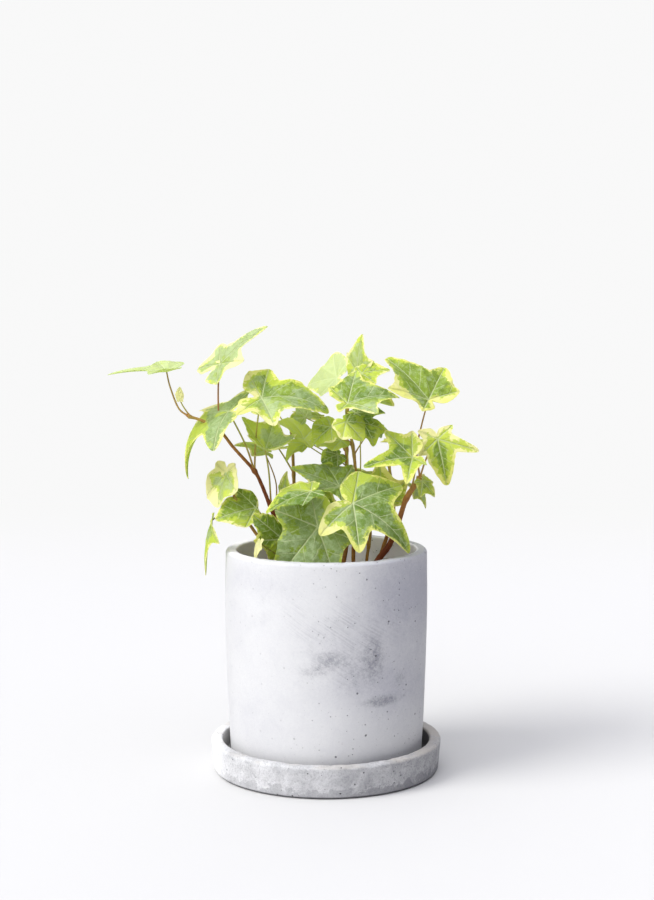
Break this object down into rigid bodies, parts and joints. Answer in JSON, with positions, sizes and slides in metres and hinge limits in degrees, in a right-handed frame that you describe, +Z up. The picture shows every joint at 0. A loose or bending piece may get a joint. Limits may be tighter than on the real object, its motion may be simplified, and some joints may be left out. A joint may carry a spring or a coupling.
{
  "type": "potted variegated ivy",
  "caption": "Variegated ivy with lobed, cream-edged leaves on leaning stems, planted in a straight concrete pot that stands on a round concrete saucer.",
  "frame": {"origin": "centre of the saucer's flat underside", "axes": "+Z up along the pot's axis, -Y towards the front of the plant, so the longest stem leans to -X"},
  "size_m": [0.2211, 0.143, 0.2743],
  "materials": {
    "saucer_concrete": "matt pale grey concrete with fine pinholes",
    "pale_concrete": "matt off-white concrete, brushed",
    "potting_soil": "dark crumbly potting mix",
    "ivy": "satin green leaf with cream margin"
  },
  "bodies": {
    "root": {"saucer": "saucer_concrete", "pot": "pale_concrete", "soil": "potting_soil", "vine_left": "ivy", "vine_left_low": "ivy", "vine_rim": "ivy", "vine_front_left": "ivy", "vine_front_right": "ivy", "vine_centre": "ivy", "vine_back": "ivy", "vine_right": "ivy", "vine_back_right": "ivy", "vine_back_left": "ivy"}
  },
  "joints": []
}
